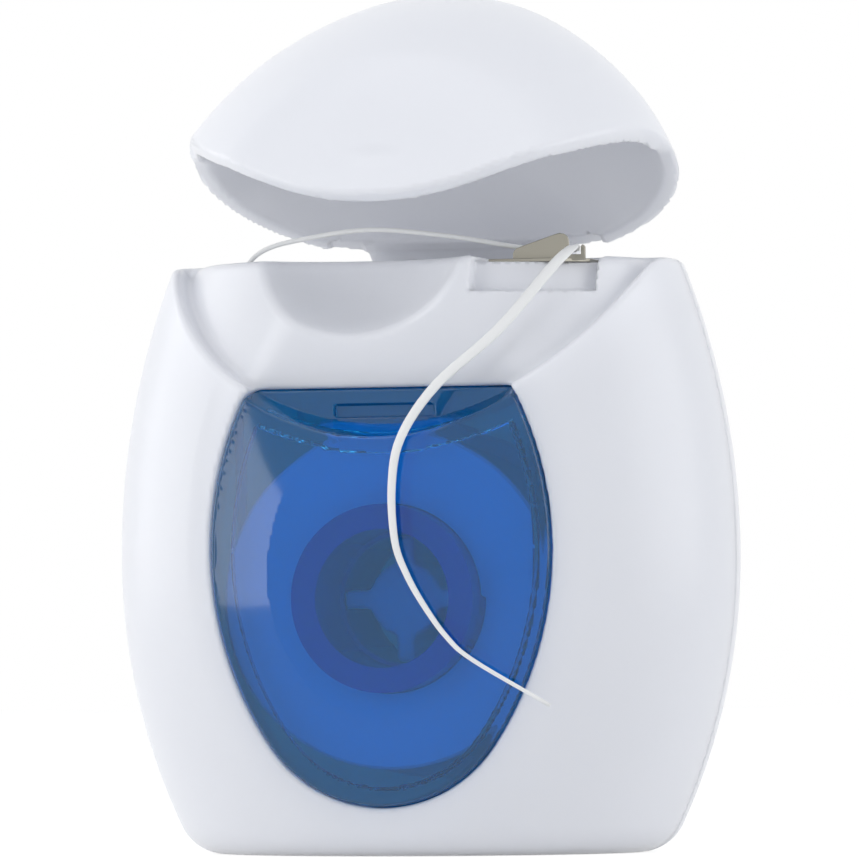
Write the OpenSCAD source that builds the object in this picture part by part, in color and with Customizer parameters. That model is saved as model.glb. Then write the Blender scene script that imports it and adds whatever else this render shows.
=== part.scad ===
// Dental floss dispenser: a barrel-shaped flip-top case with a tinted window,
// a steel cutter and a spool of floss. Millimetres, +Z up, the front looks along -Y,
// origin at the centre of the base. The lid is drawn open.

/* [Case] */
// Width of the case at its widest line
case_w = 51.5; // [46:0.5:58]
// Height of the case from its base to the rim
case_h = 48; // [44:0.5:54]
// Height of the widest line above the base
belly_z = 24.2; // [21:0.2:27]
// Radius of the side outline above the widest line
side_r_up = 63.8; // [55:0.2:80]
// Radius of the side outline below the widest line
side_r_low = 51.4; // [44:0.2:65]
// Depth of the full oval section as a share of its width
section_ratio = 0.69; // [0.66:0.01:0.75]
// Distance of the flat front facet from the parting plane
facet_front = 14.8; // [14:0.1:15.4]
// Distance of the flat back from the parting plane
back_flat = 12.4; // [11.6:0.1:12.8]
// Radius between the base and the sides
base_r = 4; // [4:0.5:7]
// Thickness of the moulded walls
wall = 1.6; // [1.2:0.1:2]
// Length of the tongue that joins the two shells
tongue_l = 1.6; // [1:0.1:1.9]

/* [Lid] */
// Height of the dome above the rim
dome_h = 15.3; // [13:0.1:17]
// Radius of the top of the dome
dome_r = 18.5; // [16:0.5:20]
// Angle that the top arc of the dome spans on each side
dome_turn = 37; // [30:1:42]
// Thickness of the lid
lid_wall = 1.6; // [1.2:0.1:1.8]
// Gap between the lid and the case all round
lid_gap = 0.2; // [0.1:0.05:0.4]
// Radius of the lower edge of the front flap
flap_r = 21.5; // [20.5:0.1:22.5]
// How far the front flap hangs below the rim
flap_drop = 13.4; // [12:0.1:14.5]
// Gap between the flap and the neck behind it
flap_gap = 0.3; // [0.2:0.05:0.5]
// Distance of the rear ends of the flap from the parting plane
flap_back = 2.2; // [2:0.1:4]
// Angle of the lid from closed in the drawn pose
lid_open = 33; // [0:1:80]
// Width of the living hinge and its two lugs
hinge_w = 18; // [10:0.2:20]
// Distance of the hinge line behind the flat back
hinge_out = 2.1; // [1.5:0.1:3]
// Thickness of the living hinge
hinge_t = 0.35; // [0.25:0.05:0.5]
// Height of the bare web on each side of the hinge line
hinge_web = 0.55; // [0.4:0.05:0.8]

/* [Window] */
// Width of the window
window_w = 28.2; // [24:0.2:29]
// Radius of the sides of the window
window_side_r = 27.5; // [24:0.5:32]
// Height of the widest part of the window
window_wide_z = 24.5; // [22:0.5:26]
// Height of the lower tip of the window
window_tip_z = 4; // [3:0.5:7]
// Height of the straight top edge of the window
window_top_z = 37.4; // [36.5:0.1:39]
// Width of the bevel round the window
window_bevel = 0.7; // [0.4:0.1:1]
// Width of the sloping band inside the bevel
window_slope_w = 4; // [3:0.2:5]
// Rise of the sloping band to the raised field
window_slope_h = 0.8; // [0.4:0.1:1]
// Thickness of the window
window_t = 1.6; // [1.2:0.1:2]
// Width of the flange behind the edge of the aperture
flange_w = 1.2; // [0.8:0.1:1.5]
// Thickness of that flange
flange_t = 0.8; // [0.6:0.1:1]
// Extra radius of the ledge under the edge of the flap
ledge_more = 1; // [0.5:0.1:1.2]
// Height of the hub tube and the spool axis
hub_z = 20.6; // [19.6:0.1:21.6]
// Outer diameter of the hub tube
hub_d = 15.1; // [14:0.1:16]
// Bore of the hub tube behind the window
hub_bore_d = 11.1; // [10.6:0.1:11.6]
// Bore of the rear end of the hub tube
hub_socket_d = 10.4; // [9.6:0.1:10.5]

/* [Spool] */
// Width of the spool over its flanges
spool_w = 13.2; // [11:0.2:14]
// Diameter of the flanges
spool_d = 26.8; // [26:0.2:28]
// Thickness of the flanges
spool_flange_t = 0.8; // [0.6:0.1:1.2]
// Wall of the spool's core
spool_core_t = 1; // [0.8:0.1:1.4]
// Running clearance of the spool on the hub tube
spool_fit = 0.08; // [0.05:0.01:0.1]
// Diameter of the wound floss under its outer layer
pack_d = 24; // [20:0.5:24.5]
// Turns in the outer layer
wind_turns = 11; // [8:1:11]
// Diameter of the strand in the outer layer
wind_d = 0.5; // [0.4:0.05:0.55]

/* [Scoop, cutter and floss] */
// Radius of the thumb scoop
scoop_r = 10.9; // [9:0.1:11.5]
// Sideways position of the thumb scoop
scoop_x = -2.8; // [-4:0.1:-2]
// Height of the lowest point of the thumb scoop
scoop_low_z = 41.1; // [40:0.1:43]
// Distance of the scoop's deepest edge behind the front facet
scoop_depth = 8.3; // [7:0.1:9.5]
// Width of the cutter's base plate
cutter_w = 7.8; // [6:0.1:8]
// Depth of the cutter's base plate
cutter_d = 5.2; // [4.5:0.1:5.5]
// Thickness of the cutter's sheet
cutter_t = 0.3; // [0.25:0.05:0.4]
// Height of the cutter's blade above its plate
blade_h = 2.1; // [1.6:0.1:2.4]
// Length of the legs that hold the cutter in its seat
cutter_leg = 1.8; // [1.2:0.1:2]
// Diameter of the floss outlet
outlet_d = 2.4; // [2:0.1:2.8]
// Diameter of the loose floss
floss_d = 0.8; // [0.6:0.05:0.9]

/* [Hidden] */

white = "white";
tint = [0.05, 0.35, 0.7, 0.7];
steel = "silver";
fit = 0.05;
buried = 0.5;
far = 2 * case_w;
fine = 180;
arc_fn = 180;

// Side outline of the case
half_w = case_w / 2;
up_cx = half_w - side_r_up;
low_cx = half_w - side_r_low;
foot_cx = low_cx + sqrt(pow(side_r_low - base_r, 2) - pow(belly_z - base_r, 2));
foot_dir = [foot_cx - low_cx, base_r - belly_z] / (side_r_low - base_r);

// Neck behind the flap, and the circle that the flap's lower edge follows
neck_in = lid_wall + flap_gap;
rim_z = case_h + lid_gap;
flap_cz = rim_z - flap_drop + flap_r;
groove_y = flap_back - lid_gap;

// Dome outline: a side arc that starts at the rim and a top arc, tangent where they meet
rim_w = up_cx + sqrt(pow(side_r_up, 2) - pow(rim_z - belly_z, 2));
apex_z = rim_z + dome_h;
flap_low = rim_z - flap_drop - 1;
dome_dir = [sin(dome_turn), cos(dome_turn)];
dome_c = [0, apex_z - dome_r];
dome_joint = dome_c + dome_r * dome_dir;
to_joint = dome_joint - [rim_w, rim_z];
dome_side_r = (to_joint * to_joint) / (2 * (dome_dir * to_joint));
dome_side_c = dome_joint - dome_side_r * dome_dir;

// Dish for a fingertip in the flap
dish_r = 3.2;
dish_depth = 0.4;
dish_long = 1.7;
dish_high = 0.6;
dish_up = 4;

// Hinge line behind the upper rear edge, between a lug on the case and one on the lid
hinge_y = back_flat + hinge_out;
hinge_z = case_h + lid_gap / 2;
hinge_side = 2.8;
lug_edge = 1.2;
lug_root = 4;
lug_buried = 1.2;
hinge_notch = hinge_w + 2 * hinge_side;

// Window outline: two side arcs and a tip arc, tangent where they meet
window_k = window_side_r - window_w / 2;
window_h = window_wide_z - window_tip_z;
tip_r = (pow(window_side_r, 2) - pow(window_k, 2) - pow(window_h, 2))
      / (2 * (window_side_r - window_h));
tip_cz = window_tip_z + tip_r;
tip_dir = [window_k, tip_cz - window_wide_z] / (window_side_r - tip_r);
seat_in = facet_front - neck_in - 0.6;
ledge_r = flap_r + ledge_more;
plate_front = facet_front - neck_in;
latch_z = flap_cz - flap_r + 0.85;
latch_w = 7.6;
latch_d = 0.9;

// Spool and hub positions along the depth
spool_front = seat_in - flange_t - 0.6;
spool_back = spool_front - spool_w;
hub_end = spool_back - 0.4;
socket_front = hub_end + 8.8;
core_d = hub_d + 2 * (spool_fit + spool_core_t);
pack_w = spool_w - 2 * spool_flange_t - 2 * fit;
stop_t = 2;
post_r = 3;
arm_t = 1.5;

// Cutter seat at the right of the deck
cutter_x = 7.6;
cutter_y = -8.6;
seat_sink = 0.5;
seat_z = case_h - seat_sink;
seat_low_z = case_h - 2.9;
seat_pocket = neck_in + 1.2;
seat_wall = 1.4;
leg_w = 2.4;
outlet_x = -14.2;
outlet_y = -4;

// Thumb scoop: a ball that cuts the neck's front
scoop_cz = scoop_low_z + scoop_r;
scoop_cy = -facet_front + scoop_depth - sqrt(pow(scoop_r, 2) - pow(scoop_cz - case_h, 2));

// Routes of the loose floss, from the spool to the free end. Each point is a place across and along
// the depth, and a height above the deck or above the hub.
cut_x = cutter_x + cutter_w - 0.95;
cut_y = cutter_y + 1.35;
front_y = -facet_front - window_slope_h - 0.7;
lead_route = [[-13.3, -4.5, hub_z + 1.9], [-13.5, -4.4, hub_z + 9.4],
              [outlet_x + 0.2, -4.1, case_h - 10], [outlet_x, outlet_y, case_h - 1.4]];
arch_route = [[outlet_x, outlet_y, case_h - 1.3], [outlet_x + 0.2, outlet_y, case_h + 0.1],
              [-12.6, -4.1, case_h + 1.2], [-9.8, -4.4, case_h + 1.9], [-3.4, -5.1, case_h + 2.6],
              [3.5, -5.6, case_h + 1.9], [9.1, cut_y + 1.5, case_h + 0.9],
              [cut_x - 1.8, cut_y + 1.4, case_h + 0.6],
              [cut_x - 0.1, cut_y + 0.65, case_h + 0.6], [cut_x, cut_y, case_h + 0.6]];
tail_route = [[cut_x, cut_y, case_h + 0.6], [cut_x, cut_y - 1.3, case_h + 0.5],
              [cut_x - 1, cut_y - 3.6, case_h - 1.1], [9.8, -facet_front + 1, case_h - 6.1],
              [5, -facet_front - 0.4, hub_z + 16.9], [2.4, front_y, hub_z + 12.8],
              [1.6, front_y, hub_z + 9], [1.8, front_y, hub_z + 4.6], [2.7, front_y, hub_z + 2],
              [4.1, front_y, hub_z - 0.5], [6, front_y, hub_z - 3.1], [8.2, front_y, hub_z - 5],
              [14.4, front_y + 0.2, hub_z - 8.6]];

// Outline in the right half plane, drawn as true arcs and moved inwards by inset. It runs on below
// the base, where the oval cuts it flat.
module case_outline(inset, top) {
  intersection() {
    translate([0, -buried]) square([far, top + buried]);
    union() {
      intersection() {
        translate([up_cx, belly_z]) circle(side_r_up - inset, $fn = arc_fn);
        translate([0, belly_z]) square(far);
      }
      difference() {
        intersection() {
          translate([low_cx, belly_z]) circle(side_r_low - inset, $fn = arc_fn);
          translate([0, -buried]) square([far, belly_z + buried]);
        }
        polygon([[foot_cx, base_r], [foot_cx, base_r] + 3 * base_r * foot_dir,
                 [foot_cx, -3 * base_r]]);
      }
      intersection() {
        translate([foot_cx, base_r]) circle(base_r - inset, $fn = 48);
        square(far);
      }
    }
  }
}

// Outline of the dome, which runs on below the rim
module dome_outline(inset) {
  reach = 3 * dome_r;
  turn_edge = dome_c + reach * dome_dir;
  intersection() {
    translate([dome_c.x, dome_c.y]) circle(dome_r - inset, $fn = arc_fn);
    polygon([dome_c, turn_edge, dome_c + [0, reach]]);
  }
  intersection() {
    translate([dome_side_c.x, dome_side_c.y]) circle(dome_side_r - inset, $fn = arc_fn);
    polygon([dome_c, turn_edge, [far, turn_edge.y], [far, flap_low], [0, flap_low]]);
  }
}

// Oval section: a revolved outline, flattened in depth, between the facet and the flat back
module oval(width, inset) {
  depth_share = (section_ratio * width - inset) / (width - inset);
  intersection() {
    scale([1, depth_share, 1]) rotate_extrude($fn = fine) children();
    translate([-far, inset - facet_front, inset])
      cube([2 * far, facet_front + back_flat - 2 * inset, 2 * far]);
  }
}

module case_form(inset, top) { oval(half_w, inset) case_outline(inset, top); }

module front_cylinder(radius, from_y) {
  translate([0, -from_y, flap_cz]) rotate([90, 0, 0]) cylinder(r = radius, h = far, $fn = fine);
}

module behind_front(depth) { translate([-far, -depth, -far]) cube(2 * far); }

// Turns a child about the hinge line, as the lid turns when it opens
module pivot(angle) {
  translate([0, hinge_y, hinge_z]) rotate([-angle, 0, 0])
    translate([0, -hinge_y, -hinge_z]) children();
}

module hinge_clearance() {
  translate([-hinge_notch / 2, back_flat - wall - 0.4, hinge_z - hinge_web])
    cube([hinge_notch, far, 2 * hinge_web]);
}

// Lug that carries one edge of the living hinge: below the hinge line on the case, above it on the lid
module hinge_lug(side) {
  root_y = back_flat - lug_buried;
  tip_y = hinge_y + hinge_t / 2 + fit;
  translate([-hinge_w / 2, 0, hinge_z]) rotate([90, 0, 90]) linear_extrude(hinge_w)
    polygon([[root_y, side * hinge_web], [tip_y, side * hinge_web],
             [tip_y, side * (hinge_web + lug_edge)], [root_y, side * (hinge_web + lug_root)]]);
}

// Hollow of the case, narrower behind the neck
module case_hollow() {
  difference() {
    case_form(wall, case_h - wall);
    front_cylinder(flap_r + lid_gap + wall, 0);
  }
  case_form(neck_in + wall, case_h - wall);
}

module case_shell() {
  difference() {
    case_form(0, case_h);
    case_hollow();
  }
}

// Tongue of the rear shell, and with extra the room for it in the front shell
module tongue(extra) {
  difference() {
    case_form(wall / 2 + fit - extra, case_h - wall / 2 - fit + extra);
    case_form(wall + extra, case_h - wall - extra);
    behind_front(-extra);
    translate([-far, -2 * far - tongue_l - extra, -far]) cube(2 * far);
  }
}

// Window outline as a solid along -Y: levels are pairs of inset and depth, front last
module window_disc(radius, levels) {
  for (i = [0 : len(levels) - 2])
    translate([0, 0, levels[i][1]])
      cylinder(r1 = radius - levels[i][0], r2 = radius - levels[i + 1][0],
               h = levels[i + 1][1] - levels[i][1], $fn = arc_fn);
}

module window_solid(levels) {
  grow = max([for (level = levels) -level[0]]);
  reach = 3 * window_side_r;
  wedge = [[0, tip_cz], [0, tip_cz] + reach * tip_dir, [0, -reach],
           [0, tip_cz] + reach * [-tip_dir.x, tip_dir.y]];
  rotate([90, 0, 0]) {
    difference() {
      intersection() {
        intersection_for(side = [-1 : 2 : 1])
          translate([side * window_k, window_wide_z, 0]) window_disc(window_side_r, levels);
        translate([-reach, -reach, 0]) cube([2 * reach, reach + window_top_z + grow, reach]);
      }
      linear_extrude(reach) polygon(wedge);
    }
    intersection() {
      translate([0, tip_cz, 0]) window_disc(tip_r, levels);
      linear_extrude(reach) polygon(wedge);
    }
  }
}

module hub_tube(radius, from_depth, to_depth) {
  translate([0, -from_depth, hub_z]) rotate([90, 0, 0])
    cylinder(r = radius, h = to_depth - from_depth, $fn = fine);
}

module case_front() color(white) {
  seat_grow = flange_w + 2 * fit + wall / 2;
  difference() {
    union() {
      difference() {
        case_shell();
        behind_front(0);
      }
      // Seat that the window's flange bears on
      intersection() {
        window_solid([[-seat_grow, seat_in], [-seat_grow, facet_front]]);
        case_form(buried, case_h - buried);
      }
      // Wall behind the scoop, and the block that holds the cutter
      intersection() {
        case_form(neck_in + buried, case_h - buried);
        union() {
          translate([scoop_x, scoop_cy, scoop_cz]) sphere(scoop_r + wall, $fn = fine);
          translate([cutter_x - seat_wall, -facet_front, seat_low_z - seat_wall])
            cube([cutter_w + 2 * seat_wall + 1.4, facet_front - tongue_l - 2 * fit,
                  case_h - seat_low_z + seat_wall]);
        }
        translate([-far, -2 * far - tongue_l - 2 * fit, 0]) cube(2 * far);
      }
    }
    // Room for the flap in front of the neck
    difference() {
      front_cylinder(flap_r + lid_gap, groove_y);
      case_form(neck_in, case_h + 1);
    }
    window_solid([[-fit, 0], [-fit, far]]);
    window_solid([[-flange_w - fit, seat_in - flange_t - wall], [-flange_w - fit, seat_in]]);
    translate([scoop_x, scoop_cy, scoop_cz]) sphere(scoop_r, $fn = fine);
    cutter_room();
    // Floss outlet with a flared mouth
    translate([outlet_x, outlet_y, case_h - wall - 1]) cylinder(d = outlet_d, h = far, $fn = 48);
    translate([outlet_x, outlet_y, case_h - 0.5])
      cylinder(d1 = outlet_d, d2 = outlet_d + 1.2, h = 0.6, $fn = 48);
    tongue(fit);
  }
}

// Pocket in the deck and the neck where the cutter sits, with slots for its legs
module cutter_room() {
  room_w = cutter_w + 1.4;
  difference() {
    translate([cutter_x - 0.6, -far, seat_low_z]) cube([room_w, far + cutter_y + cutter_d + fit, far]);
    case_form(seat_pocket, seat_z);
  }
  for (x = leg_places())
    translate([x - leg_w / 2 - fit, cutter_y + cutter_d - 1.2 - fit, seat_z - cutter_leg - 0.2])
      cube([leg_w + 2 * fit, cutter_t + 2 * fit, far]);
}

function leg_places() = [cutter_x + 1.6, cutter_x + cutter_w - 1.6];

module case_back() color(white) {
  difference() {
    union() {
      intersection() {
        case_shell();
        behind_front(0);
      }
      tongue(0);
      // Stop ring behind the spool, and the cross-shaped post in the hub tube
      hub_tube(hub_d / 2 + 0.6 + stop_t, wall / 2 - back_flat, spool_back - 0.3);
      intersection() {
        hub_tube(hub_socket_d / 2 - fit, wall / 2 - back_flat, socket_front + 0.3);
        translate([0, 0, hub_z]) for (turn = [0, 90]) rotate([0, turn, 0])
          cube([far, 2 * far, arm_t], center = true);
      }
      hub_tube(post_r, wall / 2 - back_flat, socket_front + 0.3);
      translate([0, -socket_front - 0.3, hub_z]) rotate([90, 0, 0])
        cylinder(r1 = post_r, r2 = post_r / 2, h = 0.8, $fn = 48);
    }
    difference() {
      hub_tube(hub_d / 2 + 0.6, wall - back_flat, far);
      hub_tube(hub_socket_d / 2 - fit, wall - back_flat, far);
    }
    hinge_clearance();
  }
  hinge_lug(-1);
}

module window() color(tint) {
  field = facet_front + window_slope_h;
  band_in = window_bevel + window_slope_w;
  difference() {
    union() {
      window_solid([[0, seat_in], [0, facet_front - window_bevel / 2],
                    [window_bevel, facet_front], [band_in, field]]);
      window_solid([[-flange_w, seat_in - flange_t], [-flange_w, seat_in]]);
    }
    // Hollow back
    difference() {
      window_solid([[window_t, 0], [window_t, facet_front - window_t]]);
      front_cylinder(ledge_r + window_t, 0);
    }
    // Ledge under the edge of the closed flap
    translate([0, -plate_front, flap_cz]) rotate([90, 0, 0])
      cylinder(r1 = ledge_r - 0.8, r2 = ledge_r + 0.4, h = field - plate_front + fit, $fn = arc_fn);
    // Slot that the lid's bead snaps into
    translate([-latch_w / 2 - 0.3, -plate_front - far + 0.5, latch_z - latch_d / 2 - 0.1])
      cube([latch_w + 0.6, far, latch_d + 0.2]);
  }
  difference() {
    hub_tube(hub_d / 2, hub_end, facet_front - window_t + 0.4);
    hub_tube(hub_bore_d / 2, socket_front, facet_front - window_t);
    hub_tube(hub_socket_d / 2, hub_end - 1, far);
  }
}

module cutter() color(steel) {
  nose = 2.4;
  top = seat_z + cutter_t;
  translate([cutter_x, cutter_y, seat_z]) linear_extrude(cutter_t)
    polygon([[0, 0], [cutter_w - nose, 0], [cutter_w, nose], [cutter_w, cutter_d], [0, cutter_d]]);
  // Blade raised from the plate, with its point at the right
  translate([cutter_x, cutter_y + 1.5, top]) rotate([90, 0, 0]) linear_extrude(cutter_t)
    polygon([[1.7, -cutter_t / 2], [1.7, 0.5], [2, 0.8], [6, blade_h], [6.3, blade_h - 0.1],
             [6.35, 0.3], [7.35, 0.3], [7.35, 1], [7.5, 1.1], [7.7, 0.9], [7.7, -cutter_t / 2]]);
  for (x = leg_places())
    translate([x - leg_w / 2, cutter_y + cutter_d - 1.2, seat_z - cutter_leg])
      cube([leg_w, cutter_t, cutter_leg + cutter_t / 2]);
}

// Outline of the lid: the dome and the case's own outline meet at the rim
module lid_outline(inset) {
  intersection() {
    case_outline(inset, apex_z + 1);
    dome_outline(inset);
  }
}

module lid_closed() {
  difference() {
    oval(half_w, 0) lid_outline(0);
    oval(half_w, lid_wall) lid_outline(lid_wall);
    // Everything below the rim but the flap
    difference() {
      translate([-far, -far, rim_z - far]) cube([2 * far, 2 * far, far]);
      front_cylinder(flap_r, flap_back);
    }
    hinge_clearance();
    // Dish for a fingertip near the flap's edge
    translate([0, dish_depth - facet_front - dish_r, rim_z - flap_drop + dish_up])
      scale([dish_long, 1, dish_high]) sphere(dish_r, $fn = 72);
  }
  // Bead that snaps into the window's slot
  translate([-latch_w / 2, lid_wall - facet_front - 0.2, latch_z]) rotate([0, 90, 0])
    cylinder(d = latch_d, h = latch_w, $fn = 32);
  hinge_lug(1);
}

module lid() color(white) pivot(lid_open) lid_closed();

module lid_hinge() color(white) {
  web = [hinge_w, hinge_t, hinge_web];
  translate([-hinge_w / 2, hinge_y - hinge_t / 2, hinge_z - hinge_web]) cube(web);
  pivot(lid_open) translate([-hinge_w / 2, hinge_y - hinge_t / 2, hinge_z]) cube(web);
  translate([-hinge_w / 2, hinge_y, hinge_z]) rotate([0, 90, 0])
    cylinder(d = hinge_t, h = hinge_w, $fn = 32);
}

module spool() color(white) difference() {
  union() {
    hub_tube(core_d / 2, spool_back, spool_front);
    hub_tube(spool_d / 2, spool_back, spool_back + spool_flange_t);
    hub_tube(spool_d / 2, spool_front - spool_flange_t, spool_front);
  }
  hub_tube(hub_d / 2 + spool_fit, spool_back - 1, spool_front + 1);
}

module floss_pack() color(white) difference() {
  hub_tube(pack_d / 2, spool_back + spool_flange_t + fit, spool_front - spool_flange_t - fit);
  hub_tube(core_d / 2, spool_back, spool_front);
}

// Points of a route with steps between each pair of its corners
function joined(p, i) = i < 0 ? 2 * p[0] - p[1]
                      : i >= len(p) ? 2 * p[len(p) - 1] - p[len(p) - 2] : p[i];
function bend(a, b, c, d, t) =
  (2 * b + (c - a) * t + (2 * a - 5 * b + 4 * c - d) * t * t
   + (3 * b - a - 3 * c + d) * t * t * t) / 2;
function smooth(p, steps) = concat(
  [for (i = [0 : len(p) - 2], s = [0 : steps - 1])
    bend(joined(p, i - 1), p[i], p[i + 1], joined(p, i + 2), s / steps)],
  [p[len(p) - 1]]);
function unit(v) = v / norm(v);
function along(p, i) = unit(p[min(i + 1, len(p) - 1)] - p[max(i - 1, 0)]);

// Tube of one cross-section swept along points, its sides turned by a fixed direction
module strand(p, d, sides, up) {
  n = len(p);
  rings = [for (i = [0 : n - 1])
    let (t = along(p, i), u = unit(cross(t, up)), v = cross(t, u))
    for (j = [0 : sides - 1])
      p[i] + d / 2 * (cos(360 * j / sides) * u + sin(360 * j / sides) * v)];
  walls = [for (i = [0 : n - 2], j = [0 : sides - 1])
    let (a = i * sides + j, b = i * sides + (j + 1) % sides)
    each [[a, a + sides, b], [b, a + sides, b + sides]]];
  polyhedron(rings, concat(walls, [[for (j = [0 : sides - 1]) j],
             [for (j = [sides - 1 : -1 : 0]) (n - 1) * sides + j]]), convexity = 10);
}

// Outer layer: a helix round the pack that runs straight for one diameter at each end
wind_steps = 24;
wind_r = (pack_d / 2 + wind_d / 2 + fit) / cos(180 / wind_steps);
wind_run = pack_w - wind_d - 0.3;
wind_y = -(spool_front + spool_back) / 2;
function wind_point(i) = let (a = 360 * i / wind_steps)
  [wind_r * cos(a), wind_y + wind_run * (i / wind_steps / wind_turns - 0.5), hub_z + wind_r * sin(a)];
wind_last = wind_turns * wind_steps;
wind_core = [for (i = [0 : wind_last]) wind_point(i)];
wind_path = concat(
  [wind_core[0] - wind_d * unit(wind_core[1] - wind_core[0])], wind_core,
  [wind_core[wind_last] + wind_d * unit(wind_core[wind_last] - wind_core[wind_last - 1])]);
wind_least = min([for (i = [0 : wind_last - wind_steps + 3], j = [i + 12 : min(i + 36, wind_last)])
  norm(wind_core[j] - wind_core[i])]) - wind_d;
echo(least_gap_between_turns = wind_least);

module floss_winding() color(white) strand(wind_path, wind_d, 6, [0, 1, 0]);

module floss_lead() color(white) strand(smooth(lead_route, 4), floss_d, 8, [0, 1, 0]);

module floss_arch() color(white) strand(smooth(arch_route, 2), floss_d, 8, [0, 1, 0]);

module floss_tail() color(white) strand(smooth(tail_route, 2), floss_d, 8, [0, 1, 0]);

case_front();
case_back();
window();
cutter();
lid();
lid_hinge();
spool();
floss_pack();
floss_winding();
floss_lead();
floss_arch();
floss_tail();
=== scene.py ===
"""Dental floss dispenser: white flip-top case, tinted window, steel cutter and floss.

In metres, in the CAD's own frame: +Z up, the window towards -Y, the origin in the middle of the base.
"""
import math

import bpy
import numpy as np
from mathutils import Matrix, Vector


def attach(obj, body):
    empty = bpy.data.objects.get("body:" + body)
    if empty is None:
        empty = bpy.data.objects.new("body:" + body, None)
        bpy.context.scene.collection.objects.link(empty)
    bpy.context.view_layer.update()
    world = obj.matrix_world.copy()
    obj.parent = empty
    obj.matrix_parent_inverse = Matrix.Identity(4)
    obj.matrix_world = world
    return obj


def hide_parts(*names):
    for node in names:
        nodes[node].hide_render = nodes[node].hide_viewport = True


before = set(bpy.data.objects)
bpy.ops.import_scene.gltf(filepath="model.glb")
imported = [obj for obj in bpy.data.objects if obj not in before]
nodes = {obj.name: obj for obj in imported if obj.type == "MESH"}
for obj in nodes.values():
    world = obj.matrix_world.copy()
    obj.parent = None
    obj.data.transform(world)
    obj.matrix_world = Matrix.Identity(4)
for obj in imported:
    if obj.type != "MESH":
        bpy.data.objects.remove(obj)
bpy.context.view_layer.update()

MM = 0.001


# Spool: a core with two thin flanges, moulded in plain white polypropylene. It turns on the window's hub
# tube. Its sizes are in millimetres, as those of every other piece are.
hub_z, hub_d, hub_bore_d = 20.6, 15.1, 11.1
spool_front, spool_w, spool_d, flange_t = 10.9, 13.2, 26.8, 0.8
spool_core_d, spool_bore_d = 17.26, 15.26


def srgb(code):
    """Linear colour of an sRGB hex value such as #F2F3F5."""
    parts = [int(code[i:i + 2], 16) / 255 for i in (1, 3, 5)]
    return [c / 12.92 if c <= 0.04045 else ((c + 0.055) / 1.055) ** 2.4 for c in parts] + [1.0]


def add(tree, kind, inputs=(), **settings):
    """A node of that kind; inputs maps each socket to its value or to the socket that feeds it."""
    node = tree.nodes.new(kind)
    for name, value in settings.items():
        setattr(node, name, value)
    for name, value in dict(inputs).items():
        if isinstance(value, bpy.types.NodeSocket):
            tree.links.new(value, node.inputs[name])
        else:
            node.inputs[name].default_value = value
    return node


def finish_of(name, **sockets):
    """A material with one Principled shader, whose constant sockets are given by name."""
    material = bpy.data.materials.new(name)
    material.use_nodes = True
    tree = material.node_tree
    tree.nodes.clear()
    shader = add(tree, "ShaderNodeBsdfPrincipled", {k.replace("_", " "): v for k, v in sockets.items()})
    add(tree, "ShaderNodeOutputMaterial", {"Surface": shader.outputs[0]})
    return material, tree, shader


def relief(tree, shader, grain_mm, depth_mm, strength, detail=2):
    """Fine unevenness of a surface, as noise with a grain of that size."""
    place = add(tree, "ShaderNodeTexCoord")
    noise = add(tree, "ShaderNodeTexNoise",
                {"Vector": place.outputs["Object"], "Scale": 1 / (grain_mm * MM), "Detail": detail})
    bump = add(tree, "ShaderNodeBump",
               {"Height": noise.outputs["Fac"], "Strength": strength, "Distance": depth_mm * MM})
    tree.links.new(bump.outputs[0], shader.inputs["Normal"])


def as_object(name, verts, faces, material, normals=None):
    """A smooth mesh object from points in millimetres, with its own normals if they are given."""
    mesh = bpy.data.meshes.new(name)
    if isinstance(faces, np.ndarray):
        faces = faces.tolist()
    mesh.from_pydata((np.asarray(verts) * MM).tolist(), [], faces)
    mesh.polygons.foreach_set("use_smooth", [True] * len(mesh.polygons))
    mesh.update()
    if normals is not None:
        mesh.normals_split_custom_set_from_vertices(normals.tolist())
    mesh.materials.append(material)
    piece = bpy.data.objects.new(name, mesh)
    bpy.context.scene.collection.objects.link(piece)
    return piece


def turned(name, profile, material, sides=96, crease=30):
    """A closed profile of radius and depth behind the front, revolved about the hub's axis."""
    turn = np.linspace(0, 2 * math.pi, sides, endpoint=False)
    verts = [(r * math.cos(a), -depth, hub_z + r * math.sin(a)) for r, depth in profile for a in turn]
    count = len(profile)
    faces = [(i * sides + j, i * sides + (j + 1) % sides,
              (i + 1) % count * sides + (j + 1) % sides, (i + 1) % count * sides + j)
             for i in range(count) for j in range(sides)]
    piece = as_object(name, verts, faces, material)
    piece.data.set_sharp_from_angle(angle=math.radians(crease))
    return piece


# It has no polish of its own, so it looks like skimmed milk: white, with a broad, weak shine.
spool_plastic, tree, shader = finish_of("moulded_polypropylene_matt", Base_Color=srgb("#F1F3F4"),
                                        Roughness=0.45)
relief(tree, shader, grain_mm=0.6, depth_mm=0.02, strength=0.1)

spool_back = spool_front - spool_w
rim_round = 0.2
core_r, outer_r, bore_r = spool_core_d / 2, spool_d / 2, spool_bore_d / 2
spool_profile = [
    (bore_r, spool_back), (outer_r - rim_round, spool_back), (outer_r, spool_back + rim_round),
    (outer_r, spool_back + flange_t - rim_round), (outer_r - rim_round, spool_back + flange_t),
    (core_r, spool_back + flange_t), (core_r, spool_front - flange_t),
    (outer_r - rim_round, spool_front - flange_t), (outer_r, spool_front - flange_t + rim_round),
    (outer_r, spool_front - rim_round), (outer_r - rim_round, spool_front), (bore_r, spool_front)]
spool = turned("spool_body", spool_profile, spool_plastic)
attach(spool, "spool")
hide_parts("spool")


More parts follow.
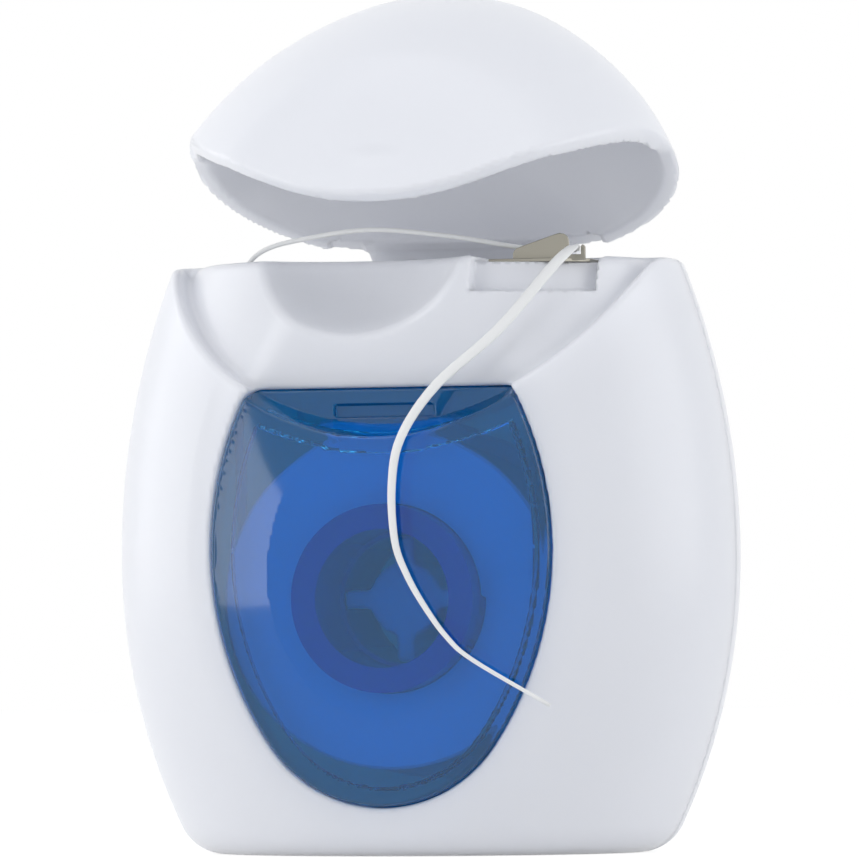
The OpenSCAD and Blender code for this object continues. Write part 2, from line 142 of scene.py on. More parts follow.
# Wound floss: flat nylon ribbon, waxed, laid on the core turn by turn. The pack of inner turns is one solid
# with a shallow ridge for each turn. Over it lies one layer of separate turns, a ribbon along a spiral.
floss_width, floss_thick = 0.8, 0.3
pack_r, layer_turns, pack_gap = 12.0, 21, 0.05
ridge_r, ridge_h = pack_r - 0.25, 0.06
turn_w, turn_t = 0.46, 0.24
pack_w = spool_w - 2 * flange_t - 2 * pack_gap

waxed, tree, shader = finish_of("waxed_nylon_floss", Base_Color=srgb("#F6F6F3"), Roughness=0.42,
                                Sheen_Weight=0.3)
relief(tree, shader, grain_mm=0.25, depth_mm=0.04, strength=0.25)

pack_back = spool_back + flange_t + pack_gap
pack_front = pack_back + pack_w
ridges = [(ridge_r + ridge_h * (-1) ** i, pack_back + pack_w * i / (2 * layer_turns))
          for i in range(2 * layer_turns + 1)]
pack = turned("floss_pack_body", [(core_r, pack_back)] + ridges + [(core_r, pack_front)], waxed, crease=60)
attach(pack, "spool")
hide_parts("floss_pack")


def spiral_layer(name, material):
    """One layer of wound ribbon, made with Geometry Nodes from the spiral's sizes."""
    tree = bpy.data.node_groups.new(name, "GeometryNodeTree")
    sizes = {"Turns": float(layer_turns), "Radius": (pack_r + 0.05) * MM, "Run": (pack_w - floss_width) * MM,
             "Ribbon width": turn_w * MM, "Ribbon thickness": turn_t * MM}
    for label, value in sizes.items():
        socket = tree.interface.new_socket(label, in_out="INPUT", socket_type="NodeSocketFloat")
        socket.default_value = value
    tree.interface.new_socket("Geometry", in_out="OUTPUT", socket_type="NodeSocketGeometry")
    given = add(tree, "NodeGroupInput").outputs
    spiral = add(tree, "GeometryNodeCurveSpiral",
                 {"Resolution": 40, "Rotations": given["Turns"], "Start Radius": given["Radius"],
                  "End Radius": given["Radius"], "Height": given["Run"]})
    ring = add(tree, "GeometryNodeCurvePrimitiveCircle", {"Resolution": 8, "Radius": 0.5})
    shape = add(tree, "ShaderNodeCombineXYZ",
                {"X": given["Ribbon thickness"], "Y": given["Ribbon width"], "Z": 1.0})
    flat = add(tree, "GeometryNodeTransform", {"Geometry": ring.outputs["Curve"], "Scale": shape.outputs[0]})
    swept = add(tree, "GeometryNodeCurveToMesh",
                {"Curve": spiral.outputs[0], "Profile Curve": flat.outputs[0], "Fill Caps": True})
    half = add(tree, "ShaderNodeMath", {0: given["Run"], 1: 0.5}, operation="MULTIPLY")
    along = add(tree, "ShaderNodeMath", {0: half.outputs[0], 1: -(spool_front + spool_back) / 2 * MM},
                operation="ADD")
    middle = add(tree, "ShaderNodeCombineXYZ", {"X": 0.0, "Y": along.outputs[0], "Z": hub_z * MM})
    laid = add(tree, "GeometryNodeTransform",
               {"Geometry": swept.outputs[0], "Translation": middle.outputs[0],
                "Rotation": (math.pi / 2, 0, 0)})
    smooth = add(tree, "GeometryNodeSetShadeSmooth", {0: laid.outputs[0]})
    real = add(tree, "GeometryNodeRealizeInstances", {0: smooth.outputs[0]})
    dressed = add(tree, "GeometryNodeSetMaterial", {"Geometry": real.outputs[0], "Material": material})
    add(tree, "NodeGroupOutput", {"Geometry": dressed.outputs[0]})
    return tree


def grown(name, tree, material):
    """Plain mesh that a tree of Geometry Nodes gives, with the modifier gone."""
    seed = bpy.data.objects.new(name, bpy.data.meshes.new(name + "_seed"))
    bpy.context.scene.collection.objects.link(seed)
    seed.modifiers.new("made", "NODES").node_group = tree
    evaluated = seed.evaluated_get(bpy.context.evaluated_depsgraph_get())
    mesh = bpy.data.meshes.new_from_object(evaluated)
    seed.modifiers.clear()
    seed.data = mesh
    mesh.name = name
    if not mesh.materials:
        mesh.materials.append(material)
    return seed


winding = grown("floss_outer_layer", spiral_layer("wound_floss_layer", waxed), waxed)
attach(winding, "spool")
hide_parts("floss_winding")


# Rear shell: moulded polypropylene, with the hinge's lower lug, a tongue that enters the front shell, and the
# cross-shaped post and the ring that keep the spool in place. Shells, window and lid are drawn as signed
# distances with rounded edges, and skinned.
case_w, case_h, belly_z, section_ratio = 51.5, 48.0, 24.2, 0.69
side_r_up, side_r_low, base_r = 63.8, 51.4, 4.0
facet_front, back_flat, wall = 14.8, 12.4, 1.6
lid_wall, lid_gap, flap_gap, flap_r, flap_drop = 1.6, 0.2, 0.3, 21.5, 13.4
hinge_y, hinge_z, hinge_w, hinge_notch, hinge_web = 14.5, 48.1, 18.0, 23.6, 0.55
lug_edge, lug_root, lug_buried, lug_past = 1.2, 4.0, 1.2, 0.225
ring_r, ring_bore_r, ring_front = 10.15, 8.15, 2.6
post_r, post_core_r, post_half_t, post_front = 5.1, 3.0, 0.75, -6.4
fittings_back = 11.6
tongue_out, tongue_reach, tongue_root = 0.85, 1.6, 0.4
soft_edge, seam_edge = 0.6, 0.18
half_w = case_w / 2
neck_in = lid_wall + flap_gap
rim_z = case_h + lid_gap
flap_cz = rim_z - flap_drop + flap_r
up_c, low_c = half_w - side_r_up, half_w - side_r_low
foot_c = low_c + math.sqrt((side_r_low - base_r) ** 2 - (belly_z - base_r) ** 2)
foot_way = np.array([foot_c - low_c, base_r - belly_z]) / (side_r_low - base_r)


def both(a, b, r=0.0):
    """What two solids share, with the edge between them rounded by r."""
    if r <= 0:
        return np.maximum(a, b)
    return np.minimum(-r, np.maximum(a, b)) + np.hypot(np.maximum(r + a, 0), np.maximum(r + b, 0))


def cut(a, tool, r=0.0):
    """The first solid without the second."""
    return both(a, -tool, r)


def either(a, b, r=0.0):
    """Two solids in one, with the corner between them filled by r."""
    return -both(-a, -b, r)


def disc(p, r, z=flap_cz):
    """A round bar along the depth."""
    return np.hypot(p[..., 0], p[..., 2] - z) - r


def ball(p, centre, r):
    """A ball about a centre."""
    return np.linalg.norm(p - np.array(centre), axis=-1) - r


def block(p, low, high):
    """A box from its lowest to its highest corner."""
    low, high = np.array(low), np.array(high)
    q = np.abs(p - (low + high) / 2) - (high - low) / 2
    return np.linalg.norm(np.maximum(q, 0), axis=-1) + np.minimum(q.max(-1), 0)


def from_arc(wide, z, centre, r):
    """Distance outside an arc, and the direction away from it."""
    to_r, to_z = wide - centre[0], z - centre[1]
    far = np.hypot(to_r, to_z) + 1e-9
    return np.array([far - r, to_r / far, to_z / far])


def case_sides(wide, z, inset):
    """Side outline of the case: an arc above the widest line, one below it, and a small one at the base."""
    sides = np.where(z >= belly_z, from_arc(wide, z, (up_c, belly_z), side_r_up - inset),
                     from_arc(wide, z, (low_c, belly_z), side_r_low - inset))
    corner = (wide > foot_c) & (foot_way[0] * (z - base_r) < foot_way[1] * (wide - foot_c)) & (z < belly_z)
    return np.where(corner, from_arc(wide, z, (foot_c, base_r), base_r - inset), sides)


def oval(p, inset=0.0, outline=case_sides, soft=1.2):
    """An outline revolved, flattened in depth, and cut by the front facet and the flat back."""
    share = (section_ratio * half_w - inset) / (half_w - inset)
    x, y, z = np.moveaxis(p, -1, 0)
    wide = np.hypot(x, y / share) + 1e-9
    far, out_r, out_z = outline(wide, z, inset)
    stretch = np.hypot(x / wide, y / (share ** 2 * wide))
    far = far / np.sqrt((out_r * stretch) ** 2 + out_z ** 2)
    far = both(far, -y - facet_front + inset, soft)
    return both(far, y - back_flat + inset, soft)


def barrel(p, inset=0.0, soft=1.2):
    """The case's closed form, moved inwards by inset."""
    return np.maximum(oval(p, inset, soft=soft), inset - p[..., 2])


def slope_of(solid, points, reach=0.01):
    """Gradient and value of a signed distance at points."""
    slope = np.stack([(solid(points + reach * way) - solid(points - reach * way)) / (2 * reach)
                      for way in np.eye(3)], -1)
    return slope, solid(points)


def skin(solid, low, high, step):
    """Closed mesh of a signed distance, one point for each crossed cell, and the normals there."""
    axes = [np.arange(a, b + step, step) for a, b in zip(low, high)]
    value = solid(np.stack(np.meshgrid(*axes, indexing="ij"), -1))
    size = np.array(value.shape) - 1
    corner = {(i, j, k): value[i:size[0] + i, j:size[1] + j, k:size[2] + k]
              for i in (0, 1) for j in (0, 1) for k in (0, 1)}
    filled = sum((v < 0).astype(np.int8) for v in corner.values())
    active = (filled > 0) & (filled < 8)
    cells = np.argwhere(active)
    number = np.full(value.shape, -1)
    number[:-1, :-1, :-1][active] = np.arange(len(cells))
    total, hits = np.zeros((len(cells), 3)), np.zeros(len(cells))
    for a in corner:
        for axis in range(3):
            if a[axis]:
                continue
            b = tuple(1 if n == axis else a[n] for n in range(3))
            at_a, at_b = corner[a][active], corner[b][active]
            crossed = (at_a < 0) != (at_b < 0)
            share = np.where(crossed, at_a / np.where(crossed, at_a - at_b, 1), 0)
            total += (np.array(a) + share[:, None] * (np.array(b) - np.array(a))) * crossed[:, None]
            hits += crossed
    verts = np.array([a[0] for a in axes]) + (cells + total / hits[:, None]) * step
    faces = []
    for axis in range(3):
        u, v = (axis + 1) % 3, (axis + 2) % 3
        first = value[tuple(slice(None, -1) if n == axis else slice(1, -1) for n in range(3))]
        second = value[tuple(slice(1, None) if n == axis else slice(1, -1) for n in range(3))]
        flips = np.argwhere((first < 0) != (second < 0))
        quad = np.empty((len(flips), 4), int)
        for column, (du, dv) in enumerate(((0, 0), (1, 0), (1, 1), (0, 1))):
            cell = flips.copy()
            cell[:, u] += du
            cell[:, v] += dv
            quad[:, column] = number[tuple(cell.T)]
        inward = first[tuple(flips.T)] >= 0
        quad[inward] = quad[inward][:, ::-1]
        faces.append(quad)
    for _ in range(4):
        slope, here = slope_of(solid, verts)
        move = slope * (here / np.maximum((slope ** 2).sum(1), 0.05))[:, None]
        length = np.linalg.norm(move, axis=1, keepdims=True)
        verts = verts - move * np.minimum(1, 0.4 * step / np.maximum(length, 1e-9))
    slope = slope_of(solid, verts)[0]
    return verts, np.vstack(faces), slope / np.maximum(np.linalg.norm(slope, axis=1, keepdims=True), 1e-9)


def hollow(p):
    """Room inside the case, narrower behind the neck."""
    wide_part = cut(both(barrel(p, wall), p[..., 2] - case_h + wall),
                    np.maximum(disc(p, flap_r + lid_gap + wall), p[..., 1]))
    return either(wide_part, both(barrel(p, neck_in + wall), p[..., 2] - case_h + wall))


def lug(p, side):
    """Lug that carries one edge of the hinge web: side is -1 below the hinge line, 1 above it."""
    x, y, up = p[..., 0], p[..., 1], side * (p[..., 2] - hinge_z)
    root_y, tip_y = back_flat - lug_buried, hinge_y + lug_past
    fall = math.atan2(lug_root - lug_edge, tip_y - root_y)
    under = (up - hinge_web - lug_edge) * math.cos(fall) + (y - tip_y) * math.sin(fall)
    form = both(both(np.abs(x) - hinge_w / 2, under, 0.3), y - tip_y, 0.2)
    return np.maximum(np.maximum(form, root_y - y), hinge_web - up)


def hinge_room(p):
    """Notch behind the deck and the lid, where the hinge bends."""
    return block(p, (-hinge_notch / 2, back_flat - wall - 0.4, hinge_z - hinge_web),
                 (hinge_notch / 2, 40, hinge_z + hinge_web))


def rear_shell(p):
    """Rear half of the case, with its ring, post, tongue and lug."""
    x, y, z = np.moveaxis(p, -1, 0)
    body = both(both(barrel(p), z - case_h, soft_edge), -y, seam_edge)
    body = cut(cut(body, hollow(p)), hinge_room(p), 0.15)
    hub = np.hypot(x, z - hub_z)
    ring = np.maximum(both(hub - ring_r, ring_front - y, 0.2), ring_bore_r - hub)
    cross = np.minimum(np.abs(x), np.abs(z - hub_z)) - post_half_t
    post = either(both(cross, hub - post_r, 0.15), hub - post_core_r, 0.3)
    post = both(post, post_front - y, 0.3)
    fittings = np.maximum(np.minimum(ring, post), y - fittings_back)
    tongue = np.maximum(barrel(p, tongue_out), -barrel(p, wall))
    tongue = np.maximum(tongue, np.maximum(z - case_h + tongue_out, -tongue_reach - y))
    tongue = np.maximum(tongue, y - tongue_root)
    return either(np.minimum(np.minimum(body, fittings), tongue), lug(p, -1), 0.3)


# Semi-gloss mould finish: near-white with a cool cast, a clear but soft shine, and a trace of orange peel.
moulded, tree, shader = finish_of("moulded_polypropylene", Base_Color=srgb("#F0F1F5"), Roughness=0.28,
                                  IOR=1.49, Subsurface_Weight=0.5,
                                  Subsurface_Radius=(1.0, 1.0, 1.0), Subsurface_Scale=0.003)
relief(tree, shader, grain_mm=1.1, depth_mm=0.1, strength=0.03, detail=3)

verts, faces, normals = skin(rear_shell, low=(-26.4, -7.2, -0.6), high=(26.4, 15.6, 48.9), step=0.45)
rear = as_object("rear_shell", verts, faces, moulded, normals)
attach(rear, "case")
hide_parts("case_back")


# Window: clear tinted acrylic, moulded with a rounded edge, a slope up to a raised egg-shaped field, a ledge
# under the lid's flap with the slot for its snap, and a flange behind the shell. The hub tube is part of it,
# and deeper in colour.
window_w, window_side_r, window_wide_z, window_tip_z, window_top_z = 28.2, 27.5, 24.5, 4.0, 37.4
window_t, field_h, seat_in, plate_front, ledge_r = 1.6, 0.85, 12.3, 12.9, 22.5
field_middle_z, field_half_w, field_half_h, field_in = 22.5, 9.0, 11.5, 0.5
ledge_fall, ledge_rise = 0.44, 0.8
flange_rim, flange_middle, flange_half_t, pane_back = 1.2, 11.9, 0.4, 11.5
slot_half_w, slot_half_h, slot_front, slot_back = 4.1, 0.5, 13.4, 12.4
latch_z = flap_cz - flap_r + 0.85
window_k = window_side_r - window_w / 2
window_h = window_wide_z - window_tip_z
tip_r = (window_side_r ** 2 - window_k ** 2 - window_h ** 2) / (2 * (window_side_r - window_h))
tip_z = window_tip_z + tip_r
tip_way = np.array([window_k, tip_z - window_wide_z]) / (window_side_r - tip_r)


def window_edge(p, soft=0.5):
    """Distance outside the window's outline: two side arcs, a tip arc and the straight top edge."""
    x, z = np.abs(p[..., 0]), p[..., 2]
    sides = np.hypot(x + window_k, z - window_wide_z) - window_side_r
    in_tip = tip_way[0] * (z - tip_z) < tip_way[1] * x
    return both(np.where(in_tip, np.hypot(x, z - tip_z) - tip_r, sides), z - window_top_z, soft)


def window_face(p, edge):
    """How far the window's face stands in front of the facet: a slope from the edge to the raised field."""
    x, z = p[..., 0] / field_half_w, (p[..., 2] - field_middle_z) / field_half_h
    past_field = (np.hypot(x, z) - 1) * field_half_w
    from_edge = np.clip(-edge - field_in, 0, None)
    return field_h * np.minimum(from_edge / (from_edge + np.clip(past_field, 1e-6, None)), 1)


def window_pane(p):
    """The window without its tube: a hollow pane with a ledge, a slot and a flange."""
    y, edge = p[..., 1], window_edge(p)
    pane = both(edge, -y - facet_front - window_face(p, edge), 0.5)
    slope = disc(p, ledge_r) + ledge_rise + ledge_fall * (y + plate_front)
    pane = cut(pane, np.maximum(slope, y + plate_front), 0.25)
    behind = np.maximum(window_edge(p, 0.0) + window_t, -y - facet_front + window_t)
    behind = cut(behind, disc(p, ledge_r + window_t))
    pane = cut(pane, behind, 0.2)
    flange = np.maximum(edge - flange_rim, np.abs(y + flange_middle) - flange_half_t)
    pane = np.maximum(np.minimum(pane, cut(flange, behind)), y + pane_back)
    slot = block(p, (-slot_half_w, -slot_front, latch_z - slot_half_h),
                 (slot_half_w, -slot_back, latch_z + slot_half_h))
    return cut(pane, slot, 0.1)


# Blue acrylic is clear and hard: a sharp highlight, and a colour that deepens with each wall that light
# goes through.
tinted = finish_of("tinted_acrylic", Base_Color=srgb("#2AA8F2"), Roughness=0.06, IOR=1.49,
                   Transmission_Weight=0.9)[0]
deep = finish_of("tinted_acrylic_tube", Base_Color=srgb("#1826A8"), Roughness=0.25, IOR=1.49)[0]

verts, faces, normals = skin(window_pane, low=(-16, -16.2, 2.2), high=(16, -11, 39.2), step=0.25)
pane = as_object("window_pane", verts, faces, tinted, normals)

# The tube stops just short of the pane's back, so that the two faces don't coincide.
tube_r, tube_bore, tube_lip = hub_d / 2, hub_bore_d / 2, 0.35
tube_end, bore_end, tube_front = spool_back - 0.4, 6.1, facet_front - window_t - 0.04
tube_profile = [
    (tube_bore - tube_lip, tube_end), (tube_r, tube_end), (tube_r, tube_front), (tube_bore, tube_front),
    (tube_bore, bore_end), (tube_bore - tube_lip, bore_end)]
tube = turned("window_hub_tube", tube_profile, deep)
for piece in (pane, tube):
    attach(piece, "case")
    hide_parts("window")


# Front shell: the same white moulding. The neck is set back for the lid's flap, with a thumb scoop, the
# cutter's pocket, the floss outlet with a flared mouth, and the opening that the window fills from behind.
scoop_r, scoop_x, scoop_low_z, scoop_depth = 10.9, -2.8, 41.1, 8.3
scoop_z = scoop_low_z + scoop_r
scoop_y = -facet_front + scoop_depth - math.sqrt(scoop_r ** 2 - (scoop_z - case_h) ** 2)
scoop_centre = (scoop_x, scoop_y, scoop_z)
neck_back, neck_soft = 2.0, 0.5
pocket_left, pocket_right, pocket_back = 7.0, 16.2, -3.35
pocket_low_z, pocket_floor_z, pocket_inset = 45.1, 47.5, 3.1
pocket_case = ((6.2, -facet_front, 43.7), (17, -1.7, case_h))
aperture_gap, aperture_back, seat_rim, flange_gap, flange_room = 0.1, 9, 2.05, 0.05, 1.2
outlet_x, outlet_y, outlet_r, outlet_depth, mouth_h, mouth_flare = -14.2, -4.0, 1.2, 3, 0.5, 0.6
beyond = 30


def front_shell(p):
    """Front half of the case, with its neck, scoop, pocket, window opening and outlet."""
    x, y, z = np.moveaxis(p, -1, 0)
    body = both(barrel(p), z - case_h, soft_edge)
    flap_room = both(disc(p, flap_r + lid_gap), -barrel(p, neck_in, neck_soft), 0.8)
    body = cut(body, both(flap_room, y + neck_back, 0.4), 0.7)
    body = cut(body, ball(p, scoop_centre, scoop_r), 0.6)
    pocket = block(p, (pocket_left, -beyond, pocket_low_z),
                   (pocket_right, pocket_back, pocket_low_z + beyond))
    pocket = both(pocket, -both(barrel(p, pocket_inset), z - pocket_floor_z), 0.15)
    body = cut(body, pocket, 0.15)
    edge = window_edge(p)
    room = cut(hollow(p), ball(p, scoop_centre, scoop_r + wall))
    room = cut(room, block(p, *pocket_case))
    room = cut(room, np.maximum(edge - seat_rim, y + seat_in))
    body = cut(body, room)
    body = cut(body, np.maximum(edge - aperture_gap, y + aperture_back), 0.4)
    flange_slot = np.abs(y + seat_in - flange_room) - flange_room
    body = cut(body, np.maximum(edge - flange_rim - flange_gap, flange_slot))
    flare = np.clip(z - case_h + mouth_h, 0, mouth_flare)
    mouth = np.hypot(x - outlet_x, y - outlet_y) - outlet_r - flare
    body = cut(body, np.maximum(mouth, case_h - outlet_depth - z), 0.1)
    return both(body, y, seam_edge)


verts, faces, normals = skin(front_shell, low=(-26.4, -15.6, -0.6), high=(26.4, 0.8, 48.9), step=0.35)
front = as_object("front_shell", verts, faces, moulded, normals)
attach(front, "case")
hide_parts("case_front")


# Cutter: stamped and bent steel sheet. The plate lies in the pocket, two legs go down into the shell, and the
# blade stands up near the front edge, with a notch at the right where the floss is pulled down and cut.
cutter_x, cutter_y, cutter_w, cutter_d, cutter_t = 7.6, -8.6, 7.8, 5.2, 0.3
plate_z, plate_corner, blade_y = case_h - 0.5, 2.4, 1.5
leg_h, leg_half_w, leg_in, leg_back, overlap = 1.8, 1.2, 1.6, 0.9, 0.15
blade = [(1.7, -overlap), (1.7, 0.4), (1.78, 0.68), (2.0, 0.88), (2.3, 1.0), (5.2, 1.95), (5.6, 2.04),
         (5.95, 1.98), (6.2, 1.8), (6.33, 1.5), (6.35, 1.2), (6.35, 0.3), (7.35, 0.3), (7.35, 0.95),
         (7.5, 1.1), (7.7, 0.9), (7.7, -overlap)]
plate = [(0, 0), (cutter_w - plate_corner, 0), (cutter_w, plate_corner), (cutter_w, cutter_d), (0, cutter_d)]
leg = [(-leg_half_w, -leg_h), (leg_half_w, -leg_h), (leg_half_w, overlap), (-leg_half_w, overlap)]


def sheet(outline, place, thick):
    """Corners and faces of an outline given thickness; place maps a corner and a height to a point."""
    count = len(outline)
    corners = [place(a, b, h) for h in (0, thick) for a, b in outline]
    sides = [(i, (i + 1) % count, count + (i + 1) % count, count + i) for i in range(count)]
    return corners, [tuple(range(count))[::-1], tuple(range(count, 2 * count))] + sides


bend_z = plate_z + cutter_t
parts = [sheet(plate, lambda a, b, h: (cutter_x + a, cutter_y + b, plate_z + h), cutter_t),
         sheet(blade, lambda a, b, h: (cutter_x + a, cutter_y + blade_y - h, bend_z + b), cutter_t)]
leg_y = cutter_y + cutter_d - leg_back
for leg_x in (cutter_x + leg_in, cutter_x + cutter_w - leg_in):
    parts.append(sheet(leg, lambda a, b, h: (leg_x + a, leg_y - h, plate_z + b), cutter_t))
corners, panels = [], []
for piece_corners, piece_faces in parts:
    panels += [tuple(len(corners) + i for i in face) for face in piece_faces]
    corners += piece_corners

# Rolled stainless sheet: warm grey, a blurred shine, and fine streaks from the rolls.
rolled, tree, shader = finish_of("rolled_stainless_sheet", Base_Color=srgb("#98958B"), Metallic=1.0,
                                 Roughness=0.34)
place = add(tree, "ShaderNodeTexCoord")
stretched = add(tree, "ShaderNodeMapping", {"Vector": place.outputs["Object"], "Scale": (300, 9000, 9000)})
streaks = add(tree, "ShaderNodeTexNoise", {"Vector": stretched.outputs[0], "Scale": 1.0, "Detail": 3})
bump = add(tree, "ShaderNodeBump", {"Height": streaks.outputs["Fac"], "Strength": 0.2, "Distance": 0.02 * MM})
tree.links.new(bump.outputs[0], shader.inputs["Normal"])

cutter = as_object("cutter_sheet", corners, panels, rolled)
cutter.data.set_sharp_from_angle(angle=math.radians(30))
edges = cutter.modifiers.new("stamped_edges", "BEVEL")
edges.width, edges.segments, edges.limit_method = 0.05 * MM, 2, "ANGLE"
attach(cutter, "case")
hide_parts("cutter")


# Living hinge: a thin web between the lug of the rear shell and the lug of the lid, where the lid bends open.
# It stays the CAD's own solid, in the shells' plastic.
nodes["lid_hinge"].data.materials.clear()
nodes["lid_hinge"].data.materials.append(moulded)


# Lid: one white moulding with its flap in front, a dish for a fingertip, and the bead that snaps into the
# window's slot. It is drawn closed, with a little clearance, and then turned open about the hinge line.
dome_h, dome_r, dome_turn, flap_back, lid_open = 15.3, 18.5, 37.0, 2.2, 33.0
lid_squeeze, rim_lift, flap_in, lid_inner = 0.992, 0.06, 0.1, lid_wall - 0.12
dish_r, dish_sink, dish_up, dish_shape = 3.2, 0.4, 4, np.array([1.7, 1, 0.6])
bead_r, bead_half_w, bead_in = 0.45, 3.8, 0.2
apex_z = rim_z + dome_h
rim_w = up_c + math.sqrt(side_r_up ** 2 - (rim_z - belly_z) ** 2)
dome_way = np.array([math.sin(math.radians(dome_turn)), math.cos(math.radians(dome_turn))])
dome_c = np.array([0, apex_z - dome_r])
joint = dome_c + dome_r * dome_way
to_joint = joint - np.array([rim_w, rim_z])
dome_side_r = to_joint @ to_joint / (2 * dome_way @ to_joint)
dome_side_c = joint - dome_side_r * dome_way


def dome_sides(wide, z, inset):
    """Side outline of the dome: a flat arc from the rim and a tighter one over the top."""
    top = dome_way[0] * (z - dome_c[1]) > dome_way[1] * wide
    return np.where(top, from_arc(wide, z, dome_c, dome_r - inset),
                    from_arc(wide, z, dome_side_c, dome_side_r - inset))


def closed_lid(p):
    """The lid in its closed pose, with flap, dish, bead and upper lug."""
    p = p / np.array([lid_squeeze, 1, 1])
    x, y, z = np.moveaxis(p, -1, 0)
    form = both(oval(p), oval(p, 0, dome_sides), 0.9)
    inside = both(oval(p, lid_inner), oval(p, lid_inner, dome_sides), 0.5)
    kept = either(rim_z + rim_lift - z, both(disc(p, flap_r - flap_in), y + flap_back, 1.0), 1.7)
    lid = both(cut(form, inside), kept, 0.35)
    lid = cut(lid, hinge_room(p), 0.2)
    dish_centre = np.array([0, dish_sink - facet_front - dish_r, rim_z - flap_drop + dish_up])
    dish = np.linalg.norm((p - dish_centre) / dish_shape, axis=-1) - dish_r
    lid = cut(lid, dish * dish_shape.min(), 0.3)
    bead = np.hypot(y + facet_front - lid_wall + bead_in, z - latch_z) - bead_r
    bead = np.maximum(bead, np.abs(x) - bead_half_w)
    return either(either(lid, bead, 0.1), lug(p, 1), 0.3)


verts, faces, normals = skin(closed_lid, low=(-21.9, -15.7, 34.2), high=(21.9, 15.6, 64.2), step=0.36)
opening = np.array(Matrix.Rotation(math.radians(-lid_open), 3, "X"))
hinge_line = np.array([0, hinge_y, hinge_z])
verts = (verts - hinge_line) @ opening.T + hinge_line
lid = as_object("flip_lid", verts, faces, moulded, normals @ opening.T)
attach(lid, "lid")
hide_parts("lid")


# Loose floss: the same waxed ribbon. It runs from the spool up to the outlet, arches over the deck, is caught
# in the cutter's notch, and its cut end hangs in front of the window. Where the ribbon twists, its width is
# the part of it that faces forward.
lead_route = [(-13.3, -4.5, 22.5), (-13.5, -4.4, 30.0), (-14.0, -4.1, 38.0), (-14.2, -4.0, 46.6)]
arch_route = [(-14.2, -4.0, 46.7), (-14.0, -4.0, 48.1), (-12.6, -4.1, 49.2), (-9.8, -4.4, 49.9),
              (-3.4, -5.1, 50.6), (3.5, -5.6, 49.9), (9.1, -5.75, 48.9), (12.65, -5.85, 48.6),
              (14.35, -6.6, 48.6), (14.45, -7.25, 48.6)]
tail_route = [(14.45, -7.25, 48.6), (14.45, -8.55, 48.5), (13.45, -10.85, 46.9), (9.8, -13.8, 41.9),
              (5.0, -15.2, 37.5), (2.4, -16.3, 33.4), (1.6, -16.3, 29.6), (1.8, -16.3, 25.2),
              (2.7, -16.3, 22.6), (4.1, -16.3, 20.1), (6.0, -16.3, 17.5), (8.2, -16.3, 15.6),
              (14.4, -16.1, 12.0)]
twist_at = [0, 0.3, 0.42, 0.5, 0.62, 0.8, 1]
twist_width = [0.42, 0.4, 0.7, 0.95, 0.85, 0.55, 0.3]


def smooth_route(points, steps=6):
    """Catmull-Rom points through a route."""
    p = np.array(points, float)
    p = np.vstack([2 * p[0] - p[1], p, 2 * p[-1] - p[-2]])
    out = []
    for i in range(1, len(p) - 2):
        a, b, c, d = p[i - 1:i + 3]
        for t in np.arange(steps) / steps:
            out.append((2 * b + (c - a) * t + (2 * a - 5 * b + 4 * c - d) * t ** 2
                        + (3 * b - a - 3 * c + d) * t ** 3) / 2)
    return np.array(out + [p[-2]])


def ribbon(name, line, widths, thick, material, sides=12):
    """A closed flat strand along a line, with its flat face forward."""
    along = np.gradient(line, axis=0)
    along /= np.linalg.norm(along, axis=1, keepdims=True)
    across = np.cross(along, np.array([0.0, -1.0, 0.25]))
    across /= np.linalg.norm(across, axis=1, keepdims=True)
    face = np.cross(across, along)
    turn = np.linspace(0, 2 * math.pi, sides, endpoint=False)
    rings = (line[:, None] + widths[:, None, None] / 2 * np.cos(turn)[None, :, None] * across[:, None]
             + thick / 2 * np.sin(turn)[None, :, None] * face[:, None])
    count = len(line)
    faces = [(i * sides + j, i * sides + (j + 1) % sides,
              (i + 1) * sides + (j + 1) % sides, (i + 1) * sides + j)
             for i in range(count - 1) for j in range(sides)]
    faces += [tuple(range(sides))[::-1], tuple((count - 1) * sides + j for j in range(sides))]
    return as_object(name, rings.reshape(-1, 3), faces, material)


lead_line = smooth_route(lead_route)
lead = ribbon("floss_lead_ribbon", lead_line, np.full(len(lead_line), floss_width), floss_thick, waxed)
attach(lead, "case")
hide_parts("floss_lead")

floss_line = np.vstack([smooth_route(arch_route)[:-1], smooth_route(tail_route)])
floss_widths = np.interp(np.linspace(0, 1, len(floss_line)), twist_at, twist_width)
floss = ribbon("loose_floss", floss_line, floss_widths, floss_thick, waxed)
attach(floss, "case")
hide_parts("floss_arch", "floss_tail")


# Photograph's view: a long lens from 16 degrees to the right of the front, at the height of the case's lower
# quarter, and leaning by half a degree.
view_turn = math.radians(16)
view_distance = 628 * MM
eye_height = 15.1 * MM
focal_px = 7700
picture_px = 859
horizon_below_middle_px = 237.5
middle_right_px = -0.9
lean = 0.0085

ahead = Vector((-math.sin(view_turn), math.cos(view_turn), 0))
right = Vector((math.cos(view_turn), math.sin(view_turn), 0))
up = Vector((0, 0, 1))
right, up = right * math.cos(lean) - up * math.sin(lean), right * math.sin(lean) + up * math.cos(lean)
ahead = (ahead * focal_px + right * middle_right_px + up * horizon_below_middle_px).normalized()
right = ahead.cross(up).normalized()
up = right.cross(ahead)

lens = bpy.data.cameras.new("camera")
lens.sensor_width = 36
lens.lens = focal_px * lens.sensor_width / picture_px
lens.clip_start, lens.clip_end = 0.01, 10
camera = bpy.data.objects.new("camera", lens)
camera.matrix_world = Matrix((
    (right.x, up.x, -ahead.x, view_distance * math.sin(view_turn)),
    (right.y, up.y, -ahead.y, -view_distance * math.cos(view_turn)),
    (right.z, up.z, -ahead.z, eye_height),
    (0, 0, 0, 1)))
bpy.context.scene.collection.objects.link(camera)
bpy.context.scene.camera = camera


